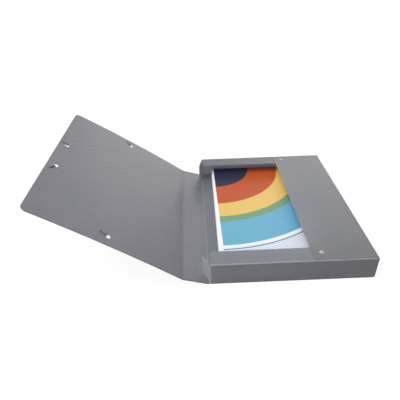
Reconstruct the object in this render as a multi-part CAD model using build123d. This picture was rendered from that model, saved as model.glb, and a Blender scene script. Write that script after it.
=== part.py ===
from build123d import *
from math import cos, degrees, radians, sin, sqrt, tan
import os

# A4 filing box folded from one die-cut plastic sheet, lying open. Millimetres.
# X runs from the spine to the fore-edge wall, Y from the foot to the head, Z up.
# The origin is the middle of the base's underside, where the box rests.

# Contents that set the format: a stack of A4 paper with a printed card on top
paper_width = 210.0
paper_length = 297.0
stack_height = 17.0
card_thickness = 0.4
contents_x = 4.2
contents_y = 2.2
contents_turn = -0.73

# Box, with the room that it leaves round the paper
room_beside_paper = 30.0
room_past_paper_ends = 23.0
box_width = paper_width + room_beside_paper
box_depth = paper_length + room_past_paper_ends
box_height = 38.0
sheet = 0.8
fold_radius = 1.5
corner_relief = 0.2
wall_joint_gap = 0.1

# Flaps over the contents
narrow_flap_depth = 29.0
wide_flap_depth = 91.5
narrow_flap_corner = 5.0
narrow_flap_bevel = 10.0
wide_flap_corner = 8.0
wide_flap_end_gap = 2.0

# Spine and cover
cover_clearance = 2.0
cover_setback = 2.0
cover_bow = 2.6
cover_corner = 9.0
spine_fold_half = 1.0
cover_fold_half = 4.0
cover_fold_gap = 0.1
spine_slope = 15.9
cover_slope = 33.87

# Corner tabs
tab_length = 25.0
tab_fold_half = 1.0
tab_corner = 5.0
tab_rise = 4.0
tab_foot_gap = 1.2
tab_head_gap = 1.8
tab_spine_gap = 0.3
foot_tab_splay = 24.0
head_tab_splay = 14.0

# Snap rivets that hold the wide flap to the narrow ones
rivet_from_free_edge = 13.5
rivet_from_end = 16.5
rivet_head_radius = 3.5
rivet_head_height = 1.2
rivet_edge_round = 0.5
rivet_ring_radius = 2.1
rivet_ring_width = 0.8
rivet_ring_depth = 0.4
rivet_shank_radius = 1.5
rivet_hole_gap = 0.2
rivet_cap_height = 1.8
rivet_cap_wall = 0.4
rivet_cap_gap = 0.1

# Holes in the cover for the corner elastics
hole_radius = 3.6
fore_hole_inset = 13.6
fore_hole_from_end = 125.2
side_hole_inset = 17.8
side_hole_from_fore_edge = 117.3

# Corner elastics and the crimped tags on their ends
cord_diameter = 1.8
cord_gap = 0.1
cord_rim_gap = 0.1
cord_bend_share = 0.4
tag_length = 8.0
tag_width = 2.4
tag_round_share = 0.4
tag_from_hole = 1.3
long_tag_from_hole = 3.0

# The way each tag points from its hole: the turn from the cover's x axis towards its side of the cover
foot_side_tag_turn = -19
foot_fore_tag_turn = 62
head_side_tag_turn = 30
head_fore_tag_turn = 43

# Planes and edges that follow from the sizes
left = -box_width / 2
right = box_width / 2
foot = -box_depth / 2
head = box_depth / 2
half_sheet = sheet / 2
fold_inner = fold_radius - sheet
end_wall_height = box_height - sheet
narrow_flap_floor = end_wall_height - sheet
spine_width = box_height + cover_clearance
cover_width = box_width - cover_setback
base_left = left + spine_fold_half
fold_right = right - fold_radius
fold_foot = foot + fold_radius
fold_head = head - fold_radius
relief_right = fold_right - corner_relief
relief_half = fold_head - corner_relief
tab_pivot_x = left + sheet + tab_spine_gap
wall_left = tab_pivot_x + tab_fold_half
foot_pivot_y = foot + half_sheet
head_pivot_y = head - half_sheet
tab_bottom = sheet + tab_foot_gap
tab_top = end_wall_height - tab_head_gap


def ring_sector(place, centre, start, turn, inner, outer):
    """The section of a fold: part of a ring, drawn in the plane that place maps to space."""

    def point(angle, radius):
        a = radians(angle)
        return place(centre[0] + radius * cos(a), centre[1] + radius * sin(a))

    middle = start + turn / 2
    end = start + turn
    edges = [
        ThreePointArc(point(start, outer), point(middle, outer), point(end, outer)),
        Line(point(end, outer), point(end, inner)),
        ThreePointArc(point(end, inner), point(middle, inner), point(start, inner)),
        Line(point(start, inner), point(start, outer)),
    ]
    return make_face(edges)


def slab(x0, x1, y0, y1, z0, z1):
    """A flat panel between two corners."""
    return Pos((x0 + x1) / 2, (y0 + y1) / 2, (z0 + z1) / 2) * Box(x1 - x0, y1 - y0, z1 - z0)


def plate(points, radii, floor, thickness):
    """A flat panel from its outline in the XY plane, with a corner radius at each point."""
    outline = FilletPolyline(*points, radius=radii, close=True)
    return Pos(0, 0, floor) * extrude(make_face(outline), thickness)


def fold_along_x(x0, x1, centre, start, turn):
    """A fixed fold that runs along X, its section in the YZ plane."""
    section = ring_sector(lambda a, b: (x0, a, b), centre, start, turn, fold_inner, fold_radius)
    return extrude(section, amount=x1 - x0, dir=(1, 0, 0))


def fold_along_y(y0, y1, centre, start, turn):
    """A fixed fold that runs along Y, its section in the XZ plane."""
    section = ring_sector(lambda a, b: (a, y0, b), centre, start, turn, fold_inner, fold_radius)
    return extrude(section, amount=y1 - y0, dir=(0, 1, 0))


# Base and its three walls
def make_base_panel():
    return slab(base_left, fold_right, fold_foot, fold_head, 0, sheet)


def make_end_wall(y0, y1):
    return slab(wall_left, right - sheet - wall_joint_gap, y0, y1, fold_radius, end_wall_height - fold_radius)


def make_fore_edge_wall():
    return slab(right - sheet, right, foot, head, fold_radius, box_height - fold_radius)


# The fixed folds between base, walls and flaps
def make_fixed_folds():
    low = fold_radius
    end_top = end_wall_height - fold_radius
    fore_top = box_height - fold_radius
    flap_half = head - wide_flap_end_gap
    return {
        "foot_base_fold": fold_along_x(base_left, relief_right, (fold_foot, low), 180, 90),
        "head_base_fold": fold_along_x(base_left, relief_right, (fold_head, low), 270, 90),
        "fore_edge_base_fold": fold_along_y(-relief_half, relief_half, (fold_right, low), 270, 90),
        "foot_flap_fold": fold_along_x(wall_left, relief_right, (fold_foot, end_top), 90, 90),
        "head_flap_fold": fold_along_x(wall_left, relief_right, (fold_head, end_top), 0, 90),
        "fore_edge_flap_fold": fold_along_y(-flap_half, flap_half, (fold_right, fore_top), 0, 90),
    }


# Flaps
rivet_x = right - wide_flap_depth + rivet_from_free_edge
rivet_y = head - rivet_from_end
rivet_hole_radius = rivet_shank_radius + rivet_hole_gap
punch_length = 4 * sheet


def make_head_flap():
    free_edge = head - narrow_flap_depth
    points = [
        (wall_left, fold_head),
        (wall_left, free_edge),
        (relief_right - narrow_flap_bevel, free_edge),
        (relief_right, free_edge + narrow_flap_bevel),
        (relief_right, fold_head),
    ]
    flap = plate(points, [0, narrow_flap_corner, 0, 0, 0], narrow_flap_floor, sheet)
    hole = Pos(rivet_x, rivet_y, narrow_flap_floor) * Cylinder(rivet_hole_radius, punch_length)
    return flap - hole


def make_fore_edge_flap():
    free_edge = right - wide_flap_depth
    end = head - wide_flap_end_gap
    points = [(fold_right, -end), (free_edge, -end), (free_edge, end), (fold_right, end)]
    flap = plate(points, [0, wide_flap_corner, wide_flap_corner, 0], end_wall_height, sheet)
    for y in (-rivet_y, rivet_y):
        flap -= Pos(rivet_x, y, end_wall_height) * Cylinder(rivet_hole_radius, punch_length)
    return flap


# Spine, its two living hinges and the cover
spine_pivot = (left, half_sheet)
spine_angle = radians(spine_slope)
cover_pivot = (
    left - spine_width * cos(spine_angle),
    half_sheet + spine_width * sin(spine_angle),
)
bow_radius = (cover_width / 2) ** 2 / (2 * cover_bow) + cover_bow / 2
bow_centre = (cover_width / 2, cover_bow - bow_radius)

# The cover's own frame: x from the fold to the fore edge, z out of its inner face, y towards the foot
cover_angle = radians(cover_slope)
cover_frame = Location(
    Plane(
        origin=(cover_pivot[0], 0, cover_pivot[1]),
        x_dir=(-cos(cover_angle), 0, sin(cover_angle)),
        z_dir=(sin(cover_angle), 0, cos(cover_angle)),
    )
)


def bow_height(x, offset=0.0):
    """Height of the bowed cover above its chord at x, for a surface offset from its middle."""
    return bow_centre[1] + sqrt((bow_radius + offset) ** 2 - (x - bow_centre[0]) ** 2)


def from_pivot(pivot, angle, along, across):
    """A point in the XZ plane, measured along a panel that rises to the left and up from its middle."""
    x = pivot[0] - along * cos(angle) + across * sin(angle)
    z = pivot[1] + along * sin(angle) + across * cos(angle)
    return (x, foot, z)


def make_spine_panel():
    ends = (spine_fold_half, spine_width - cover_fold_half)
    corners = [
        from_pivot(spine_pivot, spine_angle, ends[0], -half_sheet),
        from_pivot(spine_pivot, spine_angle, ends[1], -half_sheet),
        from_pivot(spine_pivot, spine_angle, ends[1], half_sheet),
        from_pivot(spine_pivot, spine_angle, ends[0], half_sheet),
    ]
    return extrude(make_face(Polyline(*corners, close=True)), amount=box_depth, dir=(0, 1, 0))


def make_spine_fold():
    mitre = half_sheet * tan(spine_angle / 2)
    corners = [
        (base_left, foot, 0),
        (left + mitre, foot, 0),
        from_pivot(spine_pivot, spine_angle, spine_fold_half, -half_sheet),
        from_pivot(spine_pivot, spine_angle, spine_fold_half, half_sheet),
        (left - mitre, foot, sheet),
        (base_left, foot, sheet),
    ]
    fold = extrude(make_face(Polyline(*corners, close=True)), amount=fold_head - fold_foot, dir=(0, 1, 0))
    return Pos(0, fold_foot - foot, 0) * fold


def make_cover_fold():
    """A soft bend, tangent to the spine and to the root of the cover."""
    root_angle = cover_angle + (cover_width / 2) / bow_radius
    turn = root_angle - spine_angle
    radius = cover_fold_half / tan(turn / 2)
    start = from_pivot(cover_pivot, spine_angle, -cover_fold_half, 0)
    section = ring_sector(
        lambda a, b: (a, foot, b),
        (start[0] + radius * sin(spine_angle), start[2] + radius * cos(spine_angle)),
        -90 - spine_slope,
        -degrees(turn - cover_fold_gap / radius),
        radius - half_sheet,
        radius + half_sheet,
    )
    return extrude(section, amount=box_depth, dir=(0, 1, 0))


def hole_places():
    """The cover's four holes in its own frame, as (side hole, fore hole) for the foot and the head."""
    side_x = cover_width - side_hole_from_fore_edge
    fore_x = cover_width - fore_hole_inset
    side_y = head - side_hole_inset
    fore_y = head - fore_hole_from_end
    return {
        "foot": ((side_x, side_y), (fore_x, fore_y)),
        "head": ((side_x, -side_y), (fore_x, -fore_y)),
    }


def make_front_cover():
    start = cover_fold_half

    def low(x):
        return (x, foot, bow_height(x, -half_sheet))

    def high(x):
        return (x, foot, bow_height(x, half_sheet))

    middle = (start + cover_width) / 2
    section = make_face(
        [
            ThreePointArc(low(start), low(middle), low(cover_width)),
            Line(low(cover_width), high(cover_width)),
            ThreePointArc(high(cover_width), high(middle), high(start)),
            Line(high(start), low(start)),
        ]
    )
    cover = extrude(section, amount=box_depth, dir=(0, 1, 0))
    fore_corners = cover.edges().filter_by(Axis.Z).group_by(Axis.X)[-1]
    cover = fillet(fore_corners, cover_corner)
    for pair in hole_places().values():
        for x, y in pair:
            cover -= Pos(x, y, bow_height(x)) * Cylinder(hole_radius, punch_length)
    return cover_frame * cover


# Corner tabs, hinged on the end walls' free edges and tucked behind the spine when it closes
def make_tab(pivot_y, splay, side):
    """side is 1 for the tab at the foot, which points to the head, and -1 for the other."""
    points = [
        (tab_fold_half, tab_bottom),
        (tab_length, tab_bottom + tab_rise),
        (tab_length, tab_top),
        (tab_fold_half, tab_top),
    ]
    panel = plate(points, [0, tab_corner, tab_corner, 0], -half_sheet, sheet)
    angle = radians(splay)
    frame = Plane(
        origin=(tab_pivot_x, pivot_y, 0),
        x_dir=(-sin(angle), side * cos(angle), 0),
        z_dir=(side * cos(angle), sin(angle), 0),
    )
    return Location(frame) * panel


def make_tab_fold(pivot_y, splay, side):
    """The bend between the end wall's edge and its tab, at rest."""
    turn = 90 - splay
    radius = tab_fold_half / tan(radians(turn / 2))
    section = ring_sector(
        lambda a, b: (a, b, tab_bottom),
        (tab_pivot_x + tab_fold_half, pivot_y + side * radius),
        -90 * side,
        -turn * side,
        radius - half_sheet,
        radius + half_sheet,
    )
    return extrude(section, amount=tab_top - tab_bottom, dir=(0, 0, 1))


# Snap rivets
def make_rivet_button(y):
    floor = narrow_flap_floor - rivet_cap_height + rivet_cap_wall + rivet_cap_gap
    shank = Pos(rivet_x, y, (floor + box_height) / 2) * Cylinder(rivet_shank_radius, box_height - floor)
    button = Cylinder(rivet_head_radius, rivet_head_height)
    button = fillet(button.edges().sort_by(Axis.Z)[-1], rivet_edge_round)
    groove = Cylinder(rivet_ring_radius + rivet_ring_width / 2, rivet_ring_depth)
    groove -= Cylinder(rivet_ring_radius - rivet_ring_width / 2, rivet_ring_depth)
    button -= Pos(0, 0, (rivet_head_height - rivet_ring_depth) / 2) * groove
    return shank + Pos(rivet_x, y, box_height + rivet_head_height / 2) * button


def make_rivet_cap(y):
    bore_depth = rivet_cap_height - rivet_cap_wall
    cap = Pos(0, 0, -rivet_cap_height / 2) * Cylinder(rivet_head_radius, rivet_cap_height)
    bore = Pos(0, 0, -bore_depth / 2) * Cylinder(rivet_shank_radius + rivet_cap_gap, bore_depth)
    return Pos(rivet_x, y, narrow_flap_floor) * (cap - bore)


# Corner elastics: each runs taut across a corner outside the cover and ends in two tags inside it
cord_radius = cord_diameter / 2
cord_height = half_sheet + cord_gap + cord_radius
cord_reach = hole_radius - cord_radius - cord_rim_gap
cord_bend = cord_bend_share * 2 * cord_height

# The turn of each tag about its hole, and the cord that shows between them, for the side hole and the fore hole
tag_rests = {
    "foot": ((foot_side_tag_turn, long_tag_from_hole), (foot_fore_tag_turn, tag_from_hole)),
    "head": ((head_side_tag_turn, tag_from_hole), (head_fore_tag_turn, tag_from_hole)),
}


def tag_direction(hole, turn):
    """A unit vector from a hole, turned from the fore edge's side towards the side that the hole is near."""
    side = 1 if hole[1] > 0 else -1
    return cos(radians(turn)), side * sin(radians(turn))


def beside(hole, direction, distance, height):
    """A point at a distance from a hole, at a height above the middle of the cover there."""
    x = hole[0] + distance * direction[0]
    y = hole[1] + distance * direction[1]
    return (x, y, bow_height(hole[0]) + height)


def make_elastic(pair, rests):
    """From one tag down round its hole's rim, straight across the corner outside, and up to the other tag."""
    side_hole, fore_hole = pair
    (side_turn, side_slack), (fore_turn, fore_slack) = rests
    side_way = tag_direction(side_hole, side_turn)
    fore_way = tag_direction(fore_hole, fore_turn)
    route = [
        beside(side_hole, side_way, hole_radius + side_slack, cord_height),
        beside(side_hole, side_way, cord_reach, cord_height),
        beside(side_hole, side_way, cord_reach, -cord_height),
        beside(fore_hole, fore_way, cord_reach, -cord_height),
        beside(fore_hole, fore_way, cord_reach, cord_height),
        beside(fore_hole, fore_way, hole_radius + fore_slack, cord_height),
    ]
    path = FilletPolyline(*route, radius=cord_bend)
    print("elastic length", round(path.length, 2), "bend radius", round(cord_bend, 2))
    section = Plane(origin=path @ 0, z_dir=path % 0) * Circle(cord_radius)
    return cover_frame * sweep(section, path=path)


def make_tag(hole, rest):
    turn, slack = rest
    way = tag_direction(hole, turn)
    body = Box(tag_length, tag_width, cord_diameter)
    body = fillet(body.edges().filter_by(Axis.X), tag_round_share * cord_diameter)
    centre = beside(hole, way, hole_radius + slack + tag_length / 2, cord_height)
    frame = Plane(origin=centre, x_dir=(way[0], way[1], 0), z_dir=(0, 0, 1))
    return cover_frame * (Location(frame) * body)


# Contents
def make_contents(floor, thickness):
    block = Box(paper_width, paper_length, thickness)
    return Pos(contents_x, contents_y, floor + thickness / 2) * Rot(0, 0, contents_turn) * block


def make_parts():
    parts = {
        "base_panel": make_base_panel(),
        "foot_wall": make_end_wall(foot, foot + sheet),
        "head_wall": make_end_wall(head - sheet, head),
        "fore_edge_wall": make_fore_edge_wall(),
    }
    parts.update(make_fixed_folds())
    head_flap = make_head_flap()
    parts["head_flap"] = head_flap
    parts["foot_flap"] = head_flap.mirror(Plane.XZ)
    parts["fore_edge_flap"] = make_fore_edge_flap()
    parts["spine_fold"] = make_spine_fold()
    parts["spine_panel"] = make_spine_panel()
    parts["cover_fold"] = make_cover_fold()
    parts["front_cover"] = make_front_cover()
    ends = {
        "foot": (foot_pivot_y, foot_tab_splay, 1, -rivet_y),
        "head": (head_pivot_y, head_tab_splay, -1, rivet_y),
    }
    for end, (pivot_y, splay, side, y) in ends.items():
        parts[end + "_corner_tab"] = make_tab(pivot_y, splay, side)
        parts[end + "_tab_fold"] = make_tab_fold(pivot_y, splay, side)
        parts[end + "_rivet_button"] = make_rivet_button(y)
        parts[end + "_rivet_cap"] = make_rivet_cap(y)
        pair = hole_places()[end]
        rests = tag_rests[end]
        parts[end + "_corner_elastic"] = make_elastic(pair, rests)
        parts[end + "_side_elastic_tag"] = make_tag(pair[0], rests[0])
        parts[end + "_fore_elastic_tag"] = make_tag(pair[1], rests[1])
    parts["paper_stack"] = make_contents(sheet, stack_height)
    parts["printed_card"] = make_contents(sheet + stack_height, card_thickness)
    return parts


os.makedirs("parts", exist_ok=True)
for name, shape in make_parts().items():
    export_step(shape, "parts/" + name + ".step")
    print(name, "volume", round(shape.volume, 1))
print("spine pivot", spine_pivot, "cover pivot", cover_pivot)
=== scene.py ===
# %% [markdown]
# # A filing box folded from grey plastic sheet
#
# The box is one sheet of polypropylene, 0.8 mm thick, cut out flat, scored and folded. It lies open: a
# shallow tray with three flaps over its contents, a spine, and a cover that stands up off the table. Two
# snap rivets hold the flaps, and two elastics, pushed through holes in the cover, hold the box shut.
#
# The imported CAD model is the fixed frame. We load it first, and everything we make has to sit on it. All
# lengths in the scene are metres.

# %% Load the frame
import math
import random

import bpy
from mathutils import Matrix, Vector


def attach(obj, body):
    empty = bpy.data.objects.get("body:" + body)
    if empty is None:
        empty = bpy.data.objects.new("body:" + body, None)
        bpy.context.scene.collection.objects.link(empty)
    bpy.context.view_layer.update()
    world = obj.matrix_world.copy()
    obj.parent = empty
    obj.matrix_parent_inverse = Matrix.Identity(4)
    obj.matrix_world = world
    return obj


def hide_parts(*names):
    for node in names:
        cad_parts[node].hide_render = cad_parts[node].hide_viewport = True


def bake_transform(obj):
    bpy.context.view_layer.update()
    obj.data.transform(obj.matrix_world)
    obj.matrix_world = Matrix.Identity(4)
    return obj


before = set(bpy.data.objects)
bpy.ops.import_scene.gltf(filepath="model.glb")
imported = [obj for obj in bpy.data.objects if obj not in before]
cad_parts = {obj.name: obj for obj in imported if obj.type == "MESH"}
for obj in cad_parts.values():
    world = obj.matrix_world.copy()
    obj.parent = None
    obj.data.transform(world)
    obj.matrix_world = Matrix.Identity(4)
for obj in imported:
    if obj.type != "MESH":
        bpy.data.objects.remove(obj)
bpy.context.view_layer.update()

# %% [markdown]
# ## The sizes that the pieces share
#
# These repeat the named values of the CAD source, in metres. A pivot is the middle of a hinge's line.
# Half a fold is the part of it on one side of its pivot. The cover has its own frame: `along` runs up the
# cover from the spine, `across` runs from the head to the foot, and `out` points away from its inner
# face.

# %% Sizes from the CAD source
MM = 0.001
sheet_thickness = 0.8 * MM
half_sheet = sheet_thickness / 2
box_depth = 320 * MM
spine_length = 40 * MM
spine_fold_half = 1 * MM
cover_fold_half = 4 * MM
spine_slope = math.radians(15.9)
cover_slope = math.radians(33.87)
cover_width = 238 * MM
cover_bow = 2.6 * MM
bow_radius = (cover_width / 2) ** 2 / (2 * cover_bow) + cover_bow / 2

spine_up = Vector((-math.cos(spine_slope), 0, math.sin(spine_slope)))
spine_inward = Vector((math.sin(spine_slope), 0, math.cos(spine_slope)))
spine_pivot = Vector((-120 * MM, 0, half_sheet))
cover_pivot = spine_pivot + spine_up * spine_length
along = Vector((-math.cos(cover_slope), 0, math.sin(cover_slope)))
across = Vector((0, -1, 0))
out = Vector((math.sin(cover_slope), 0, math.cos(cover_slope)))
up = Vector((0, 0, 1))


def bow_height(distance):
    """Height of the cover's middle surface above its chord, at a distance from the spine's fold."""
    offset = distance - cover_width / 2
    return cover_bow - bow_radius + math.sqrt(bow_radius**2 - offset**2)


def on_cover(distance, side, height):
    """A point of the cover's own frame, in the frame of the whole model."""
    return cover_pivot + along * distance + across * side + out * height


print("top of the cover", [round(value, 4) for value in on_cover(cover_width, 0, 0)])

# %% [markdown]
# ## The camera
#
# The photograph was taken from in front of the tray and a little to its left, looking down at 33 degrees.
# The camera was found by fitting the box's corners to the picture. We build its turn the way a tripod
# head does: first the roll about the line of sight, then the tilt, then the swing about the upright axis.

# %% Place the camera
focal_pixels = 398.184
picture_pixels = 400
sensor_width = 36.0
camera_place = Vector((-0.136945, -0.574187, 0.418091))
camera_swing = math.radians(0.936)
camera_tilt = math.radians(33.248)
camera_roll = math.radians(-1.709)

lens = bpy.data.cameras.new("camera")
lens.sensor_width = sensor_width
lens.lens = sensor_width * focal_pixels / picture_pixels
camera = bpy.data.objects.new("camera", lens)
bpy.context.scene.collection.objects.link(camera)
swing = Matrix.Rotation(-camera_swing, 4, "Z")
tilt = Matrix.Rotation(math.pi / 2 - camera_tilt, 4, "X")
roll = Matrix.Rotation(camera_roll, 4, "Z")
camera.matrix_world = Matrix.Translation(camera_place) @ swing @ tilt @ roll
bpy.context.scene.camera = camera
print("focal length", round(lens.lens, 2), "mm")

# %% [markdown]
# ## Helpers for modelling by hand
#
# An edit operator acts on whatever is selected, so each piece starts with nothing selected, and its
# corners, edges or faces are then picked by where they are. These few helpers are the hand on the mouse.


# %% Helpers for modelling
merge_distance = 0.001 * MM


def leave_edit_mode():
    """Back to object mode with nothing selected."""
    if bpy.context.object and bpy.context.object.mode == "EDIT":
        bpy.ops.object.mode_set(mode="OBJECT")
    bpy.ops.object.select_all(action="DESELECT")


def take(piece):
    """Make a piece the only one selected."""
    leave_edit_mode()
    piece.select_set(True)
    bpy.context.view_layer.objects.active = piece


def edit_all(piece):
    """Open a piece in edit mode with everything in it selected."""
    take(piece)
    bpy.ops.object.mode_set(mode="EDIT")
    bpy.ops.mesh.select_all(action="SELECT")


def keep_picked(piece, test):
    """Keep only the selected edges whose middle and direction pass a test, and stay in edit mode."""
    bpy.ops.object.mode_set(mode="OBJECT")
    mesh = piece.data
    chosen = []
    for edge in mesh.edges:
        start, end = (mesh.vertices[index].co for index in edge.vertices)
        if edge.select and test((start + end) / 2, (end - start).normalized()):
            chosen.append(edge.index)
    bpy.ops.object.mode_set(mode="EDIT")
    bpy.ops.mesh.select_all(action="DESELECT")
    bpy.ops.object.mode_set(mode="OBJECT")
    for index in chosen:
        mesh.edges[index].select = True
    bpy.ops.object.mode_set(mode="EDIT")


def pick_edges(piece, test):
    """Select the edges whose middle and direction pass a test, and stay in edit mode."""
    edit_all(piece)
    bpy.ops.mesh.select_mode(type="EDGE")
    keep_picked(piece, test)


def pick_corners(piece, test):
    """Select the corners whose place passes a test, and stay in edit mode."""
    edit_all(piece)
    bpy.ops.mesh.select_mode(type="VERT")
    bpy.ops.mesh.select_all(action="DESELECT")
    bpy.ops.object.mode_set(mode="OBJECT")
    for corner in piece.data.vertices:
        corner.select = test(corner.co)
    bpy.ops.object.mode_set(mode="EDIT")


def settle(piece, name):
    """Put a piece's place into its mesh, so that its object sits at the origin, and give it its name."""
    take(piece)
    bpy.ops.object.transform_apply(location=True, rotation=True, scale=True)
    piece.name = name
    piece.data.name = name
    return piece


def apply_modifier(piece, kind, **settings):
    """Add one modifier with its settings and apply it."""
    take(piece)
    made = piece.modifiers.new(kind.lower(), kind)
    for setting, value in settings.items():
        setattr(made, setting, value)
    bpy.ops.object.modifier_apply(modifier=made.name)


def smooth_by_angle(piece, degrees=40):
    """Shade round forms smoothly and keep true corners crisp. Large faces decide their corners' shading."""
    take(piece)
    bpy.ops.object.shade_smooth_by_angle(angle=math.radians(degrees))
    apply_modifier(piece, "WEIGHTED_NORMAL", keep_sharp=True)


def clean_surface(piece):
    """Merge what coincides and turn every face outwards."""
    edit_all(piece)
    bpy.ops.mesh.remove_doubles(threshold=merge_distance)
    bpy.ops.mesh.normals_make_consistent(inside=False)
    bpy.ops.object.mode_set(mode="OBJECT")


def place_on(piece, body, slot, finish, *nodes):
    """Give a finished piece its material, the CAD nodes it stands for and its body. The slot is not used.
    """
    piece.data.materials.clear()
    piece.data.materials.append(finish)
    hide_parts(*nodes)
    if body:
        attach(piece, body)
    print(piece.name, len(piece.data.polygons) if piece.type == "MESH" else "curve")


# %% [markdown]
# ## Building blocks for finishes
#
# A finish is a small graph of nodes. Patterns are waves and noise on object coordinates, so they stay on
# their piece when it moves. A Mapping node lays each pattern in the plane of its panel.


# %% Building blocks for finishes
def new_finish(name):
    """A material with a node tree, and its shader."""
    finish = bpy.data.materials.new(name)
    finish.use_nodes = True
    return finish, finish.node_tree, finish.node_tree.nodes["Principled BSDF"]


def add_node(tree, kind, sockets, **options):
    """One shader node: options are its settings, and each socket gets a constant or a link."""
    made = tree.nodes.new("ShaderNode" + kind)
    for option, value in options.items():
        setattr(made, option, value)
    for socket, source in sockets.items():
        if isinstance(source, bpy.types.NodeSocket):
            tree.links.new(source, made.inputs[socket])
        else:
            made.inputs[socket].default_value = source
    return made


def object_place(tree, turn=(0, 0, 0), centre=(0, 0, 0)):
    """Object coordinates, turned and moved so that a pattern lies in a panel's plane."""
    place = add_node(tree, "TexCoord", {})
    sockets = {"Vector": place.outputs["Object"], "Location": centre, "Rotation": turn}
    return add_node(tree, "Mapping", sockets).outputs["Vector"]


def turned(tree, vector, turn, scale=(1, 1, 1)):
    """A second turn, in the plane of the pattern, and a stretch."""
    sockets = {"Vector": vector, "Rotation": (0, 0, turn), "Scale": scale}
    return add_node(tree, "Mapping", sockets).outputs["Vector"]


def ribs(tree, vector, pitch, direction="X", distortion=0.0, form="BANDS"):
    """Parallel or ring-shaped waves with a real pitch. A wave of scale 1 repeats every tenth of pi."""
    sockets = {"Vector": vector, "Scale": math.pi / 10 / pitch, "Distortion": distortion, "Detail": 1.0}
    options = {"wave_type": form, "bands_direction": direction, "rings_direction": "Z"}
    return add_node(tree, "TexWave", sockets, **options).outputs["Fac"]


def noise(tree, vector, scale, detail=2.0):
    """Plain noise, from 0 to 1."""
    return add_node(tree, "TexNoise", {"Vector": vector, "Scale": scale, "Detail": detail}).outputs["Fac"]


def spread(tree, value, low, high, start=0.0, end=1.0):
    """Stretches a pattern from start and end to a range of real values."""
    sockets = {"Value": value, "From Min": start, "From Max": end, "To Min": low, "To Max": high}
    return add_node(tree, "MapRange", sockets).outputs["Result"]


def calculate(tree, operation, first, second):
    """One sum, product or comparison of two patterns or numbers."""
    return add_node(tree, "Math", {0: first, 1: second}, operation=operation).outputs["Value"]


def mottle(tree, vector, scale, share, detail=2.0):
    """Noise round 1, which strays from it by a share."""
    return spread(tree, noise(tree, vector, scale, detail), 1 - share, 1 + share)


def relief(tree, height, depth, before=None):
    """Bump of a real depth from a pattern, added to the relief before it."""
    sockets = {"Height": height, "Distance": depth}
    if before is not None:
        sockets["Normal"] = before
    return add_node(tree, "Bump", sockets).outputs["Normal"]


def tinted(tree, colour, shade):
    """A colour made lighter or darker by a pattern round 1."""
    return add_node(tree, "VectorMath", {0: colour, "Scale": shade}, operation="SCALE").outputs["Vector"]


def either(tree, choice, first, second):
    """The first colour where choice is 0, the second where it is 1. Sockets 6 and 7 take the colours."""
    return add_node(tree, "Mix", {"Factor": choice, 6: first, 7: second}, data_type="RGBA").outputs[2]


# %% [markdown]
# ## The studio
#
# The box was shot on white, in a tent of white cloth, so light comes from everywhere and no shadow is
# sharp. The sky does that here. It is even above the floor, and soft windows in it are brighter. The
# large one at the top left is the main light. The low one at the back gives the plastic its satin shine,
# which grows towards the back. The ones at the sides and the front light the walls and reach in under the
# flaps, and one below the horizon stands for the light that a white table throws back. The camera alone
# sees the sky as white, so that no horizon shows.

# %% Windows in the sky
sky_above = 0.18
sky_below = 0.25
horizon = 0.02
# A window's name, the way to it, the degrees up to which it is full and at which it ends, its strength
windows = [
    ("top left", (-0.50, -0.20, 0.84), 10, 40, 2.95),
    ("low back", (0.37, 0.90, 0.23), 4, 18, 2.6),
    ("high back", (0.08, 0.82, 0.57), 6, 30, 0.8),
    ("left", (-0.91, 0.0, 0.42), 20, 60, 0.2),
    ("front", (-0.35, -0.90, 0.26), 15, 55, 0.9),
    ("right", (0.95, 0.0, 0.31), 10, 40, 0.1),
    ("floor", (-0.30, -0.66, -0.68), 5, 30, 0.45),
]

world = bpy.data.worlds.new("studio")
bpy.context.scene.world = world
world.use_nodes = True
sky = world.node_tree
looking = add_node(sky, "TexCoord", {}).outputs["Generated"]
height = add_node(sky, "SeparateXYZ", {"Vector": looking}).outputs["Z"]
light = spread(sky, height, sky_below, sky_above, -horizon, horizon)
for name, way, inner, outer, strength in windows:
    nearness = add_node(sky, "VectorMath", {0: looking, 1: way}, operation="DOT_PRODUCT").outputs["Value"]
    rim = (math.cos(math.radians(outer)), math.cos(math.radians(inner)))
    glow = spread(sky, nearness, 0.0, strength, *rim)
    light = calculate(sky, "ADD", light, glow)
    print("window", name, strength)
seen = add_node(sky, "LightPath", {}).outputs["Is Camera Ray"]
brightness = spread(sky, seen, light, 1.0)
background = sky.nodes["Background"]
background.inputs["Color"].default_value = (1.0, 1.0, 1.0, 1.0)
sky.links.new(brightness, background.inputs["Strength"])
bpy.context.scene.view_settings.view_transform = "Standard"

# %% [markdown]
# ## The plastic sheet's finish
#
# Polypropylene sheet for boxes is rolled with a fine emboss, which breaks up its shine. Close to, there
# is a weave of tiny ribs under a millimetre apart. Further off the ribs join into soft streaks and curved
# fringes, which come and go along a panel. The sheet is thin and lets some light through, so its shader
# scatters light inside it, over a path a few times as long as the sheet is thick, and no panel goes black
# in the shade. A narrow band along the cut edges of the cover and the spine is made darker. Every panel
# gets its own copy of the finish, turned into its plane. The lightness of each copy, beside the flat
# panels' 1, was matched to the photograph: it is painted shade on panels that lie in shade and painted
# light on those that more light reaches. Creases are paler, because they are stretched, and the spine's
# crease and the sharpest folds are painted paler still, as a painted highlight.

# %% The plastic sheet's finish
sheet_colour = (0.181, 0.184, 0.205)
sheet_gloss = 0.9
sheet_roughness = (0.36, 0.5)
roughness_scale = 220.0
light_path = 4 * MM
light_path_by_colour = (1.0, 1.0, 1.1)
emboss_pitch = 0.7 * MM
emboss_depth = 0.03 * MM
tooth_scale = 1800.0
tooth_depth = 0.01 * MM
sway_scale = 9.0
sway_depth = 0.4 * MM
streak_stretch = (6, 420, 1)
streak_share = 0.09
grain_scale = 260.0
grain_share = 0.12
cloud_scale = 14.0
cloud_share = 0.05
fringe_left = 0.25
edge_band = 0.8 * MM
edge_lightness = 0.35


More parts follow.
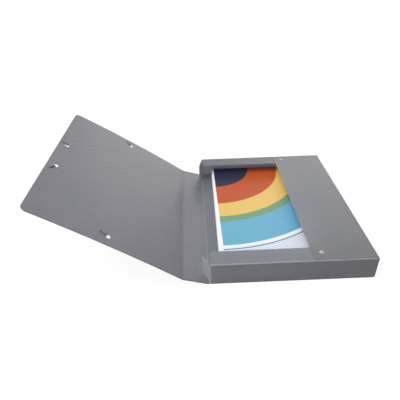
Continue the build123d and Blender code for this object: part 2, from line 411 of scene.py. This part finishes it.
def cut_edges(tree, plane, half_width, far_end=None):
    """1 in a narrow band along a panel's two sides, and along its far end if that has a place, else 0."""
    apart = add_node(tree, "SeparateXYZ", {"Vector": plane})
    beside = calculate(tree, "ABSOLUTE", apart.outputs["Y"], 0.0)
    band = calculate(tree, "GREATER_THAN", beside, half_width - edge_band)
    if far_end is None:
        return band
    end_band = calculate(tree, "LESS_THAN", apart.outputs["X"], far_end + edge_band)
    return calculate(tree, "MAXIMUM", band, end_band)


def plastic_sheet(name, turn=(0, 0, 0), lightness=1.0, streak_turn=0.0, fringes=None, edges=None):
    """Embossed grey sheet. fringes is the (centre, pitch, share, fade) of its faint rings, in its plane."""
    finish, tree, shader = new_finish(name)
    plane = object_place(tree, turn)
    lengthways = ribs(tree, plane, emboss_pitch, "X")
    crossways = ribs(tree, plane, emboss_pitch, "Y")
    weave = calculate(tree, "MULTIPLY", lengthways, crossways)
    normal = relief(tree, noise(tree, plane, sway_scale, 1.0), sway_depth)
    normal = relief(tree, weave, emboss_depth, normal)
    normal = relief(tree, noise(tree, plane, tooth_scale), tooth_depth, normal)

    streaks = mottle(tree, turned(tree, plane, streak_turn, streak_stretch), 1.0, streak_share)
    grain = mottle(tree, plane, grain_scale, grain_share, 1.0)
    cloud = mottle(tree, plane, cloud_scale, cloud_share, 3.0)
    shade = calculate(tree, "MULTIPLY", calculate(tree, "MULTIPLY", streaks, grain), cloud)
    if fringes:
        centre, pitch, share, fade = fringes
        rings = add_node(tree, "Mapping", {"Vector": plane, "Location": centre}).outputs["Vector"]
        wave = ribs(tree, rings, pitch, form="RINGS", distortion=1.0)
        fringe = spread(tree, wave, -share, share)
        if fade:
            place = add_node(tree, "SeparateXYZ", {"Vector": plane}).outputs["Y"]
            fringe = calculate(tree, "MULTIPLY", fringe, spread(tree, place, fringe_left, 1.0, *fade))
        shade = calculate(tree, "MULTIPLY", shade, calculate(tree, "ADD", fringe, 1.0))
    if edges:
        band = cut_edges(tree, plane, *edges)
        shade = calculate(tree, "MULTIPLY", shade, spread(tree, band, 1.0, edge_lightness))
    # The panel's factor scales its colour: painted light or painted shade, and for creases also the paler
    # stretched plastic.
    colour = tinted(tree, [lightness * part for part in sheet_colour], shade)
    tree.links.new(colour, shader.inputs["Base Color"])
    roughness = spread(tree, noise(tree, plane, roughness_scale, 3.0), *sheet_roughness)
    tree.links.new(roughness, shader.inputs["Roughness"])
    tree.links.new(normal, shader.inputs["Normal"])
    shader.inputs["Specular IOR Level"].default_value = sheet_gloss
    shader.inputs["Subsurface Weight"].default_value = 1.0
    shader.inputs["Subsurface Radius"].default_value = light_path_by_colour
    shader.inputs["Subsurface Scale"].default_value = light_path
    return finish


# %% A copy of the finish for each panel
# Painted light and shade for each copy: the base, the spine and the head flap are painted darker as painted
# shade, the head wall, the foot flap and the corner tabs lighter as painted light. The creases are paler
# from stretching, and the spine crease and the sharp crease are painted paler still, a painted highlight.
painted_light_and_stretch = {
    "base": 0.86,
    "head wall": 1.25,
    "spine": 0.94,
    "cover": 1.0,
    "foot flap": 1.12,
    "head flap": 0.8,
    "corner tab": 1.6,
    "pressed crease": 1.12,
    "spine crease": 1.4,
    "sharp crease": 2.0,
}
in_xz_plane = (math.pi / 2, 0, 0)
in_yz_plane = (0, math.pi / 2, 0)
in_tab_plane = (math.pi / 2, 0, math.pi / 2)
in_cover_plane = (0, -cover_slope, 0)
in_spine_plane = (0, -spine_slope, 0)
across_panel = math.pi / 2
spine_edges = (box_depth / 2,)
spine_fringes = ((0.45, 0.1, 0), 5.5 * MM, 0.05, None)
cover_start = (Matrix.Rotation(-cover_slope, 3, "Y") @ cover_pivot).x
cover_edges = (box_depth / 2, cover_start - cover_width)
cover_fringes = ((0.105, 0.148, 0), 12 * MM, 0.035, (-0.03, 0.05))

flat_finish = plastic_sheet("sheet_flat")
base_finish = plastic_sheet("sheet_base", lightness=painted_light_and_stretch["base"])
foot_wall_finish = plastic_sheet("sheet_foot_wall", in_xz_plane)
head_wall_finish = plastic_sheet("sheet_head_wall", in_xz_plane, painted_light_and_stretch["head wall"])
fore_wall_finish = plastic_sheet("sheet_fore_edge_wall", in_yz_plane)
spine_finish = plastic_sheet(
    "sheet_spine", in_spine_plane, painted_light_and_stretch["spine"], across_panel, spine_fringes, spine_edges
)
cover_finish = plastic_sheet(
    "sheet_cover", in_cover_plane, painted_light_and_stretch["cover"], across_panel, cover_fringes, cover_edges
)
foot_flap_finish = plastic_sheet("sheet_foot_flap", lightness=painted_light_and_stretch["foot flap"])
head_flap_finish = plastic_sheet("sheet_head_flap", lightness=painted_light_and_stretch["head flap"])
crease_finish = plastic_sheet("sheet_pressed_crease", lightness=painted_light_and_stretch["pressed crease"])
spine_crease_finish = plastic_sheet("sheet_spine_crease", lightness=painted_light_and_stretch["spine crease"])
sharp_crease_finish = plastic_sheet("sheet_sharp_crease", lightness=painted_light_and_stretch["sharp crease"])
print("sheet finishes", len(bpy.data.materials))

# %% [markdown]
# ## Panels that keep their CAD shape
#
# The walls and the base need no new mesh. Their CAD nodes stay, and we put our finish in their material
# slots: the base's copy is painted darker as painted shade, the back wall's lighter as painted light. A
# fold is pressed and stretched, and stretched polypropylene turns paler, so four fixed folds get a paler
# copy of the finish. The sharpest fold, above the front wall, is the palest, painted paler still than its
# stretch makes it, and draws a fine light line: a painted highlight. The one above the back wall takes
# its flap's painted shade.


# %% Dress the CAD panels
def dress(finish, *nodes):
    """Give CAD nodes a new finish without touching their meshes."""
    for node in nodes:
        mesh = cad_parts[node].data
        if not mesh.materials:
            mesh.materials.append(finish)
        for index in range(len(mesh.materials)):
            mesh.materials[index] = finish
    print("dressed", *nodes)


dress(base_finish, "base_panel")
dress(foot_wall_finish, "foot_wall")
dress(head_wall_finish, "head_wall")
dress(fore_wall_finish, "fore_edge_wall")
dress(crease_finish, "foot_base_fold", "head_base_fold", "fore_edge_base_fold", "fore_edge_flap_fold")
# The front fold is paler from stretching and painted paler still: a painted highlight.
dress(sharp_crease_finish, "foot_flap_fold")
# The back flap's fold takes the flap's painted shade.
dress(head_flap_finish, "head_flap_fold")

# %% [markdown]
# ## Flaps, spine and tabs with die-cut edges
#
# A steel rule cuts the sheet, and leaves its edges slightly round, so that each free edge catches a thin
# line of light. We copy the CAD panel, merge its loose triangles back into flat faces, select the sharp
# edges, drop those where the sheet goes on into a fold, and bevel the rest.

# %% Round the die-cut edges
die_round = 0.2 * MM
die_round_steps = 2
flat_angle = math.radians(0.5)
sharp_angle = math.radians(40)


def die_cut(node, name, body, finish, is_free):
    """A copy of a CAD panel with its free edges rounded. is_free says which edges end the sheet."""
    leave_edit_mode()
    piece = bpy.data.objects.new(name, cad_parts[node].data.copy())
    bpy.context.scene.collection.objects.link(piece)
    piece.data.name = name
    edit_all(piece)
    bpy.ops.mesh.customdata_custom_splitnormals_clear()
    bpy.ops.mesh.remove_doubles(threshold=merge_distance)
    bpy.ops.mesh.dissolve_limited(angle_limit=flat_angle)
    bpy.ops.mesh.select_mode(type="EDGE")
    bpy.ops.mesh.select_all(action="DESELECT")
    bpy.ops.mesh.edges_select_sharp(sharpness=sharp_angle)
    keep_picked(piece, is_free)
    bpy.ops.mesh.bevel(offset=die_round, segments=die_round_steps, affect="EDGES")
    smooth_by_angle(piece)
    place_on(piece, body, "sheet", finish, node)
    return piece


# %% The flaps and the spine
flap_end = 158.4 * MM
wide_flap_root = 118.4 * MM
near_fold = 0.05 * MM


def is_spine_edge(place, way):
    """The edges of the spine's panel that don't lie along one of its two folds."""
    reach = (place - spine_pivot).dot(spine_up)
    return spine_fold_half + near_fold < reach < spine_length - cover_fold_half - near_fold


# The foot flap's copy is painted lighter and the head flap's darker: painted light and painted shade.
die_cut("foot_flap", "foot_flap_sheet", "tray", foot_flap_finish, lambda place, way: place.y > -flap_end)
die_cut("head_flap", "head_flap_sheet", "tray", head_flap_finish, lambda place, way: place.y < flap_end)
die_cut(
    "fore_edge_flap", "wide_flap_sheet", "tray", flat_finish, lambda place, way: place.x < wide_flap_root
)
die_cut("spine_panel", "spine_sheet", "spine", spine_finish, is_spine_edge)

# %% [markdown]
# ## The cover
#
# The cover is the largest piece, and its soft bow carries the light across it. The CAD mesh shows the bow
# as a few facets. Here it is swept instead: a plane as thick as the sheet stands at the cover's root and
# is spun about the far centre of the bow. Then the two free corners are rounded, four holes are punched
# by a boolean, and the cut edges get their small round.

# %% Sweep the bowed cover
cover_root = cover_fold_half
bow_steps = 20


def bow_turn(distance):
    """The angle between the cover's surface and its chord, at a distance from the spine's fold."""
    return math.asin((distance - cover_width / 2) / bow_radius)


def sweep_sheet(name, start, inward, axis, width, centre, turn, steps):
    """Spin the sheet's cut end about an axis along its width. inward is the sheet's normal at the start."""
    leave_edit_mode()
    bpy.ops.mesh.primitive_plane_add(size=1)
    piece = bpy.context.object
    heading = inward.cross(axis)
    section = Matrix((inward, axis, heading)).transposed().to_4x4()
    size = Matrix.Diagonal((sheet_thickness, width, 1, 1))
    piece.matrix_world = Matrix.Translation(start) @ section @ size
    settle(piece, name)
    edit_all(piece)
    bpy.ops.mesh.spin(steps=steps, angle=turn, center=centre, axis=axis)
    clean_surface(piece)
    return piece


root_turn = bow_turn(cover_root)
end_turn = bow_turn(cover_width)
bow_centre = on_cover(cover_width / 2, 0, cover_bow - bow_radius)
root_middle = on_cover(cover_root, 0, bow_height(cover_root))
root_normal = (root_middle - bow_centre).normalized()
cover = sweep_sheet(
    "front_cover_sheet",
    root_middle,
    root_normal,
    -across,
    box_depth,
    bow_centre,
    end_turn - root_turn,
    bow_steps,
)
print("cover reaches", round(min(corner.co.x for corner in cover.data.vertices), 5))


# %% Round the free corners
cover_corner = 9 * MM
corner_steps = 10
corner_reach = 1 * MM
nearly_along = 0.9


def is_free_corner(middle, direction):
    """The two edges through the sheet's thickness at the cover's free corners."""
    through = abs(direction.dot(out)) > nearly_along
    at_side = abs(middle.y) > box_depth / 2 - corner_reach
    at_end = (middle - cover_pivot).dot(along) > cover_width - corner_reach
    return through and at_side and at_end


pick_edges(cover, is_free_corner)
bpy.ops.mesh.bevel(offset=cover_corner, offset_type="OFFSET", segments=corner_steps, affect="EDGES")
leave_edit_mode()
print("cover faces", len(cover.data.polygons))

# %% [markdown]
# ## The cover's holes
#
# The holes lie in pairs, one pair for each free corner. Each elastic leaves one hole, crosses the corner
# on the outside and comes back in through the other. A punch is a cylinder that stands square to the
# sheet at its hole.

# %% Punch the holes
hole_radius = 3.6 * MM
hole_steps = 32
punch_length = 4 * MM
cut_angle = math.radians(50)
# Ways up the cover and to the side, first of a pair's hole at the side, then of the one at the fore edge
hole_pairs = {
    "foot": ((120.7 * MM, 142.2 * MM), (224.4 * MM, 34.8 * MM)),
    "head": ((120.7 * MM, -142.2 * MM), (224.4 * MM, -34.8 * MM)),
}


def punch_hole(sheet, distance, side):
    """Cut one round hole through the cover."""
    leave_edit_mode()
    middle = on_cover(distance, side, bow_height(distance))
    turn = (0, cover_slope - bow_turn(distance), 0)
    bpy.ops.mesh.primitive_cylinder_add(
        vertices=hole_steps, radius=hole_radius, depth=punch_length, location=middle, rotation=turn
    )
    punch = bpy.context.object
    apply_modifier(sheet, "BOOLEAN", operation="DIFFERENCE", object=punch, solver="EXACT")
    bpy.data.objects.remove(punch)


for pair in hole_pairs.values():
    for distance, side in pair:
        punch_hole(cover, distance, side)
apply_modifier(
    cover, "BEVEL", width=die_round, segments=die_round_steps, limit_method="ANGLE", angle_limit=cut_angle
)
smooth_by_angle(cover, 30)
place_on(cover, "cover", "sheet", cover_finish, "front_cover")

# %% [markdown]
# ## The living hinges
#
# Four folds work: the spine on the base, the cover on the spine, and a tab on each end wall. Each is a
# strip of the same sheet, pressed thin along fine lines so that it bends there. The grooves are rows of
# the inner face that are pushed into the sheet.

# %% Sweep and score a hinge
score_depth = 0.28 * MM
near_row = 0.05 * MM


def hinge_strip(name, start, heading, inward, half_length, turn, width, steps, grooves):
    """A strip that leaves start along heading, bends towards inward by turn and is scored at some rows."""
    axis = heading.cross(inward)
    radius = half_length / math.tan(turn / 2)
    centre = start + inward * radius
    strip = sweep_sheet(name, start, inward, axis, width, centre, -turn, steps)
    for groove in grooves:
        angle = turn * groove / steps
        row_inward = Matrix.Rotation(angle, 3, axis) @ inward
        row = centre - row_inward * (radius - half_sheet)
        row_heading = Matrix.Rotation(angle, 3, axis) @ heading

        def on_row(place):
            offset = place - row
            return max(abs(offset.dot(row_inward)), abs(offset.dot(row_heading))) < near_row

        pick_corners(strip, on_row)
        bpy.ops.transform.translate(value=-row_inward * score_depth)
        leave_edit_mode()
    smooth_by_angle(strip, 60)
    return strip


def bend_strip(strip, finish, node):
    """Finish a hinge strip, hide its CAD node and bake its place into its mesh."""
    place_on(strip, None, "sheet", finish, node)
    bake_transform(strip)


# %% The spine's hinges
spine_fold_width = 317 * MM
wide_fold_steps = 20
wide_fold_grooves = (5, 10, 15)
narrow_fold_steps = 12
narrow_fold_grooves = (6,)

cover_fold_turn = cover_slope - root_turn - spine_slope
cover_fold_start = cover_pivot - spine_up * cover_fold_half
cover_crease = hinge_strip(
    "cover_crease",
    cover_fold_start,
    spine_up,
    spine_inward,
    cover_fold_half,
    cover_fold_turn,
    box_depth,
    wide_fold_steps,
    wide_fold_grooves,
)
bend_strip(cover_crease, spine_finish, "cover_fold")

spine_fold_start = spine_pivot + Vector((spine_fold_half, 0, 0))
spine_crease = hinge_strip(
    "spine_crease",
    spine_fold_start,
    Vector((-1, 0, 0)),
    up,
    spine_fold_half,
    spine_slope,
    spine_fold_width,
    narrow_fold_steps,
    narrow_fold_grooves,
)
# The spine's crease is paler from stretching and painted paler still: a painted highlight.
bend_strip(
    spine_crease, spine_crease_finish, "spine_fold"
)

# %% [markdown]
# ## The corner tabs
#
# A tab hangs on the free edge of each end wall. It springs out when the box is open and tucks behind the
# spine when it closes. The panel is die-cut like the flaps, and its hinge is the same scored strip, stood
# upright.

# %% Corner tabs and their hinges
tab_pivot_x = -118.9 * MM
tab_pivot_y = 159.6 * MM
tab_floor = 2 * MM
tab_top = 35.4 * MM
tab_fold_half = 1 * MM
tab_splays = {"foot": math.radians(24), "head": math.radians(14)}

for end, splay in tab_splays.items():
    inwards = 1 if end == "foot" else -1
    pivot = Vector((tab_pivot_x, -inwards * tab_pivot_y, (tab_floor + tab_top) / 2))
    tab_way = Vector((-math.sin(splay), inwards * math.cos(splay), 0))
    # The tabs' copy is painted lighter: painted light.
    tab_finish = plastic_sheet(f"sheet_{end}_tab", in_tab_plane, painted_light_and_stretch["corner tab"])
    die_cut(
        f"{end}_corner_tab",
        f"{end}_tab_sheet",
        f"{end}_tab",
        tab_finish,
        lambda place, way: (place - pivot).dot(tab_way) > tab_fold_half + near_fold,
    )
    crease_start = pivot + Vector((tab_fold_half, 0, 0))
    tab_crease = hinge_strip(
        f"{end}_tab_crease",
        crease_start,
        Vector((-1, 0, 0)),
        Vector((0, inwards, 0)),
        tab_fold_half,
        math.pi / 2 - splay,
        tab_top - tab_floor,
        narrow_fold_steps,
        narrow_fold_grooves,
    )
    # The tab's hinge takes the sharp fold's pale copy, paler from stretching and with its painted
    # highlight.
    bend_strip(
        tab_crease, sharp_crease_finish, f"{end}_tab_fold"
    )

# %% [markdown]
# ## Snap rivets
#
# A rivet is two white plastic halves: a button on top, with a moulded ring, and a cap that its shank
# snaps into from below. Both are round, so we model them as a potter pulls clay. A disc is extruded
# upwards step by step, and scaled to its next radius each time.


# %% Pull a form up from a disc
def pull_up(name, base, normal, sideways, stations, sides=40, flatten=1.0):
    """A form drawn along a normal through stations of (height, radius), and squeezed across sideways."""
    leave_edit_mode()
    height, radius = stations[0]
    bpy.ops.mesh.primitive_circle_add(
        vertices=sides, radius=radius, fill_type="NGON", location=(0, 0, height)
    )
    piece = bpy.context.object
    settle(piece, name)
    edit_all(piece)
    for next_height, next_radius in stations[1:]:
        bpy.ops.mesh.extrude_region_move(TRANSFORM_OT_translate={"value": (0, 0, next_height - height)})
        factor = next_radius / radius
        bpy.ops.transform.resize(value=(factor, factor, 1), center_override=(0, 0, next_height))
        height, radius = next_height, next_radius
    leave_edit_mode()
    depthways = normal.cross(sideways)
    section = Matrix((sideways, depthways, normal)).transposed().to_4x4()
    piece.matrix_world = Matrix.Translation(base) @ section @ Matrix.Diagonal((1, flatten, 1, 1))
    settle(piece, name)
    clean_surface(piece)
    smooth_by_angle(piece)
    return piece


# %% The rivets' finish and pieces
rivet_white = (0.5, 0.5, 0.5)
speckle_scale = 400.0
speckle_share = 0.03
gloss_scale = 900.0
gloss_range = 0.06
flow_scale = 700.0
flow_depth = 0.01 * MM


def moulded_plastic(name, colour, roughness):
    """Smooth moulded plastic with a little flow in its surface."""
    finish, tree, shader = new_finish(name)
    place = object_place(tree)
    shade = mottle(tree, place, speckle_scale, speckle_share)
    tree.links.new(tinted(tree, colour, shade), shader.inputs["Base Color"])
    gloss = spread(tree, noise(tree, place, gloss_scale), roughness - gloss_range, roughness + gloss_range)
    tree.links.new(gloss, shader.inputs["Roughness"])
    tree.links.new(relief(tree, noise(tree, place, flow_scale), flow_depth), shader.inputs["Normal"])
    return finish


rivet_finish = moulded_plastic("rivet_white_plastic", rivet_white, 0.3)
rivet_x = 42 * MM
rivet_y = 143.5 * MM
button_base = 38 * MM
cap_top = 36.4 * MM
# Stations are (height, radius) in millimetres, from the foot of the shank to the middle of the head
button_stations = [
    (-2.9, 1.2),
    (-2.7, 1.5),
    (0.0, 1.5),
    (0.0, 3.3),
    (0.12, 3.48),
    (0.6, 3.5),
    (0.95, 3.36),
    (1.14, 3.08),
    (1.2, 2.75),
    (1.16, 2.52),
    (0.82, 2.44),
    (0.8, 1.8),
    (1.1, 1.68),
    (1.18, 1.5),
    (1.16, 0.9),
    (1.08, 0.3),
]
cap_stations = [
    (-1.8, 1.1),
    (-1.78, 2.9),
    (-1.6, 3.25),
    (-1.3, 3.44),
    (-0.2, 3.5),
    (0.0, 3.4),
]


def in_metres(stations):
    """Stations drawn in millimetres, as metres."""
    return [(height * MM, radius * MM) for height, radius in stations]


for end, side in (("foot", -1), ("head", 1)):
    top = Vector((rivet_x, side * rivet_y, button_base))
    under = Vector((rivet_x, side * rivet_y, cap_top))
    button = pull_up(f"{end}_rivet_head", top, up, Vector((1, 0, 0)), in_metres(button_stations))
    place_on(button, "tray", "rivet", rivet_finish, f"{end}_rivet_button")
    cap = pull_up(f"{end}_rivet_socket", under, up, Vector((1, 0, 0)), in_metres(cap_stations))
    place_on(cap, "tray", "rivet", rivet_finish, f"{end}_rivet_cap")

# %% [markdown]
# ## Corner elastics
#
# An elastic is a rubber core in a braided cover, 1.8 mm thick. It is pushed through two holes and ends,
# on the inner side, in a tag too long to slip back. It is taut, so its line is nearly straight, and it
# turns sharply round the rims of its holes. The line is one NURBS curve with the CAD route's points, and
# one more point near each hole keeps the long run against the cover. The tags swing freely, and in the
# photograph each points its own way.

# %% Elastics and tags
cord_diameter = 1.8 * MM
cord_radius = cord_diameter / 2
cord_gap = 0.1 * MM
cord_height = half_sheet + cord_gap + cord_radius
cord_reach = hole_radius - cord_radius - cord_gap
cord_steady = 4.5 * cord_diameter
braid_colour = (0.17, 0.172, 0.18)
braid_slant = math.radians(52)
braid_pitch = 0.5 * MM
braid_depth = 0.08 * MM
braid_shade = (0.7, 1.2)
tag_colour = (0.24, 0.24, 0.25)
tag_width = 2.4 * MM
tag_steps = 24
slack = 1.3 * MM
long_slack = 3 * MM
# Each tag's turn and how far past its hole it starts, in the order of the holes
tag_rests = {
    "foot": ((math.radians(-19), long_slack), (math.radians(62), slack)),
    "head": ((math.radians(30), slack), (math.radians(43), slack)),
}


def braided_elastic(name, turn):
    """A dark braided cover: two families of ribs that cross at a slant."""
    finish, tree, shader = new_finish(name)
    place = object_place(tree, turn)
    one_way = ribs(tree, turned(tree, place, braid_slant), braid_pitch)
    other_way = ribs(tree, turned(tree, place, -braid_slant), braid_pitch)
    braid = calculate(tree, "MAXIMUM", one_way, other_way)
    shade = spread(tree, braid, *braid_shade)
    tree.links.new(tinted(tree, braid_colour, shade), shader.inputs["Base Color"])
    tree.links.new(relief(tree, braid, braid_depth), shader.inputs["Normal"])
    shader.inputs["Roughness"].default_value = 0.75
    shader.inputs["Sheen Weight"].default_value = 0.25
    return finish


def near_hole(hole, way, distance, height):
    """A point beside a hole, in the frame of the whole model."""
    return on_cover(hole[0] + way[0] * distance, hole[1] + way[1] * distance, bow_height(hole[0]) + height)


def tag_way(hole, turn):
    """The way a tag points, turned from the fore edge's side towards the side that its hole is near."""
    side = 1 if hole[1] > 0 else -1
    return Vector((math.cos(turn), side * math.sin(turn)))


tag_finish = moulded_plastic("tag_dark_plastic", tag_colour, 0.42)
# Stations are the way from the elastic's end, in millimetres, and the share of half the tag's width
tag_stations = [
    (0.0, 0.72),
    (0.25, 0.95),
    (0.6, 1.0),
    (1.9, 1.0),
    (2.2, 0.84),
    (2.9, 0.84),
    (3.2, 1.0),
    (7.3, 1.0),
    (7.75, 0.9),
    (8.0, 0.6),
]
for end, pair in hole_pairs.items():
    side_hole, fore_hole = pair
    (side_turn, side_slack), (fore_turn, fore_slack) = tag_rests[end]
    side_way = tag_way(side_hole, side_turn)
    fore_way = tag_way(fore_hole, fore_turn)
    side_rim = near_hole(side_hole, side_way, cord_reach, -cord_height)
    fore_rim = near_hole(fore_hole, fore_way, cord_reach, -cord_height)
    steady = (fore_rim - side_rim).normalized() * cord_steady
    route = [
        near_hole(side_hole, side_way, hole_radius + side_slack, cord_height),
        near_hole(side_hole, side_way, cord_reach, cord_height),
        side_rim,
        side_rim + steady,
        fore_rim - steady,
        fore_rim,
        near_hole(fore_hole, fore_way, cord_reach, cord_height),
        near_hole(fore_hole, fore_way, hole_radius + fore_slack, cord_height),
    ]
    curve = bpy.data.curves.new(f"{end}_elastic", "CURVE")
    curve.dimensions = "3D"
    curve.bevel_depth = cord_radius
    curve.bevel_resolution = 5
    curve.resolution_u = 12
    curve.use_fill_caps = True
    spline = curve.splines.new("NURBS")
    spline.points.add(len(route) - 1)
    for point, place in zip(spline.points, route):
        point.co = (*place, 1.0)
    spline.order_u = 3
    spline.use_endpoint_u = True
    elastic = bpy.data.objects.new(f"{end}_elastic", curve)
    bpy.context.scene.collection.objects.link(elastic)
    slant = math.atan2((route[4] - route[3]).y, (route[4] - route[3]).x)
    braid_finish = braided_elastic(f"{end}_elastic_braid", (0, 0, -slant))
    place_on(elastic, "cover", "elastic", braid_finish, f"{end}_corner_elastic")

    for hole_name, start, flat_way in (("side", route[0], side_way), ("fore", route[-1], fore_way)):
        way = along * flat_way.x + across * flat_way.y
        stations = [(height * MM, radius * tag_width / 2) for height, radius in tag_stations]
        flatness = cord_diameter / tag_width
        tag = pull_up(f"{end}_{hole_name}_tag", start, way, way.cross(out), stations, tag_steps, flatness)
        place_on(tag, "cover", "tag", tag_finish, f"{end}_{hole_name}_elastic_tag")

# %% [markdown]
# ## The papers
#
# The tray holds a stack of loose A4 sheets with a printed card on top. Loose sheets never line up, so the
# stack is built from thin bundles, each nudged and turned a little. One bundle is modelled and copied,
# each copy with its own mesh, and all are joined into one piece.

# %% Stack the bundles
random.seed(11)
paper_size = Vector((210 * MM, 297 * MM))
stack_floor = sheet_thickness
stack_height = 17 * MM
stack_middle = Vector((4.2 * MM, 2.2 * MM, 0))
stack_turn = math.radians(-0.73)
bundles = 20
bundle_height = stack_height / bundles
nudge = 0.35 * MM
twist = 0.06
bundle_corner = 0.25 * MM
paper_colour = (0.84, 0.84, 0.82)
leaf_stretch = (12, 12, 5200)
leaf_shade = (0.86, 1.06)
paper_tooth_scale = 2500.0
paper_tooth_depth = 0.01 * MM


def paper_finish():
    """White office paper: a warm edge with the lines of single sheets, and a faint tooth."""
    finish, tree, shader = new_finish("office_paper")
    place = object_place(tree)
    leaves = turned(tree, place, 0.0, leaf_stretch)
    shade = spread(tree, noise(tree, leaves, 1.0, 1.0), *leaf_shade)
    tree.links.new(tinted(tree, paper_colour, shade), shader.inputs["Base Color"])
    tooth = relief(tree, noise(tree, place, paper_tooth_scale), paper_tooth_depth)
    tree.links.new(tooth, shader.inputs["Normal"])
    shader.inputs["Roughness"].default_value = 0.85
    shader.inputs["Specular IOR Level"].default_value = 0.3
    return finish


leave_edit_mode()
bpy.ops.mesh.primitive_cube_add(size=1)
bundle = bpy.context.object
bundle.scale = (paper_size.x, paper_size.y, bundle_height)
settle(bundle, "paper_bundle")
pick_edges(bundle, lambda place, way: abs(way.z) > nearly_along)
bpy.ops.mesh.bevel(offset=bundle_corner, segments=2, affect="EDGES")
leave_edit_mode()
copies = []
for index in range(bundles):
    copy = bundle.copy()
    copy.data = bundle.data.copy()
    bpy.context.scene.collection.objects.link(copy)
    shift = Vector((random.uniform(-nudge, nudge), random.uniform(-nudge, nudge), 0))
    height = Vector((0, 0, stack_floor + (index + 0.5) * bundle_height))
    turn = stack_turn + math.radians(random.uniform(-twist, twist))
    copy.matrix_world = Matrix.Translation(stack_middle + shift + height) @ Matrix.Rotation(turn, 4, "Z")
    copies.append(copy)
bpy.data.objects.remove(bundle)
for copy in copies:
    copy.select_set(True)
bpy.context.view_layer.objects.active = copies[0]
bpy.ops.object.join()
stack = settle(bpy.context.object, "paper_sheets")
place_on(stack, "tray", "paper", paper_finish(), "paper_stack")

# %% [markdown]
# ## The printed card
#
# The card on top carries a bright print. Its design here is our own: rings of flat colour round one
# corner, on a pale ground. The distance from the corner of the print picks the colour, through a chain of
# steps, and fine lines run through the inks, as in screen printing. The print was cut almost a degree out
# of true, so the white margin on its left is a thin wedge. The card keeps its CAD shape.

# %% Print the card
print_margin = 3.3 * MM
print_top_margin = 2 * MM
print_turn = math.radians(0.9)
print_corner = Vector((-paper_size.x / 2 + print_margin, paper_size.y / 2 - print_top_margin, 0))
margin_colour = (0.97, 0.98, 0.99, 1.0)
line_pitch = 4 * MM
line_share = 0.1
card_tooth_scale = 1500.0
card_tooth_depth = 0.006 * MM
# A ring's inner radius in millimetres, and its ink
ring_colours = [
    (0.0, (0.032, 0.033, 0.075)),
    (70.0, (0.57, 0.10, 0.025)),
    (128.0, (0.86, 0.58, 0.17)),
    (168.0, (0.20, 0.38, 0.22)),
    (184.0, (0.165, 0.465, 0.66)),
    (246.0, (0.96, 0.97, 0.98)),
    (254.0, (0.12, 0.40, 0.52)),
    (257.0, (0.79, 0.82, 0.92)),
]


def printed_card():
    """Rings of colour about a corner, turned a little on their card, with a white margin on the left."""
    finish, tree, shader = new_finish("printed_card")
    middle = Matrix.Rotation(-stack_turn, 3, "Z") @ stack_middle
    centred = object_place(tree, (0, 0, -stack_turn), tuple(-middle))
    from_corner = add_node(tree, "Mapping", {"Vector": centred, "Location": tuple(-print_corner)})
    from_corner = turned(tree, from_corner.outputs["Vector"], -print_turn)
    flat = add_node(tree, "VectorMath", {0: from_corner, 1: (1, 1, 0)}, operation="MULTIPLY")
    radius = add_node(tree, "VectorMath", {0: flat.outputs["Vector"]}, operation="LENGTH").outputs["Value"]
    colour = (*ring_colours[0][1], 1.0)
    for start, ink in ring_colours[1:]:
        beyond = calculate(tree, "GREATER_THAN", radius, start * MM)
        colour = either(tree, beyond, colour, (*ink, 1.0))
    lines = ribs(tree, flat.outputs["Vector"], line_pitch, form="RINGS")
    colour = tinted(tree, colour, spread(tree, lines, 1 - line_share, 1 + line_share))
    apart = add_node(tree, "SeparateXYZ", {"Vector": from_corner})
    in_margin = calculate(tree, "LESS_THAN", apart.outputs["X"], 0.0)
    tree.links.new(either(tree, in_margin, colour, margin_colour), shader.inputs["Base Color"])
    tooth = relief(tree, noise(tree, centred, card_tooth_scale), card_tooth_depth)
    tree.links.new(tooth, shader.inputs["Normal"])
    shader.inputs["Roughness"].default_value = 0.4
    shader.inputs["Specular IOR Level"].default_value = 0.25
    return finish


dress(printed_card(), "printed_card")

# %% [markdown]
# ## The floor
#
# The photograph has no ground at all, only white. A wide pale floor that glows a little gives the same
# white and keeps a trace of a shadow under the box, so that it stands on something from every side. It
# throws no light on the box: the lower part of the sky does that.

# %% Lay the floor
floor_size = 60.0
floor_glow = 0.88
floor_colour = (0.18, 0.18, 0.181)
floor_tooth_scale = 60.0
floor_tooth_share = 0.01

leave_edit_mode()
bpy.ops.mesh.primitive_plane_add(size=floor_size, location=(0, 0, 0))
floor = bpy.context.object
floor.name = "floor"
floor_finish, floor_tree, floor_shader = new_finish("pale_floor")
tooth = mottle(floor_tree, object_place(floor_tree), floor_tooth_scale, floor_tooth_share)
floor_tree.links.new(tinted(floor_tree, floor_colour, tooth), floor_shader.inputs["Base Color"])
floor_shader.inputs["Roughness"].default_value = 0.9
floor_shader.inputs["Specular IOR Level"].default_value = 0.0
floor_shader.inputs["Emission Color"].default_value = (1.0, 1.0, 1.0, 1.0)
floor_shader.inputs["Emission Strength"].default_value = floor_glow
floor.data.materials.append(floor_finish)
floor.visible_diffuse = False
floor.visible_glossy = False
print("floor", floor_size, "m")
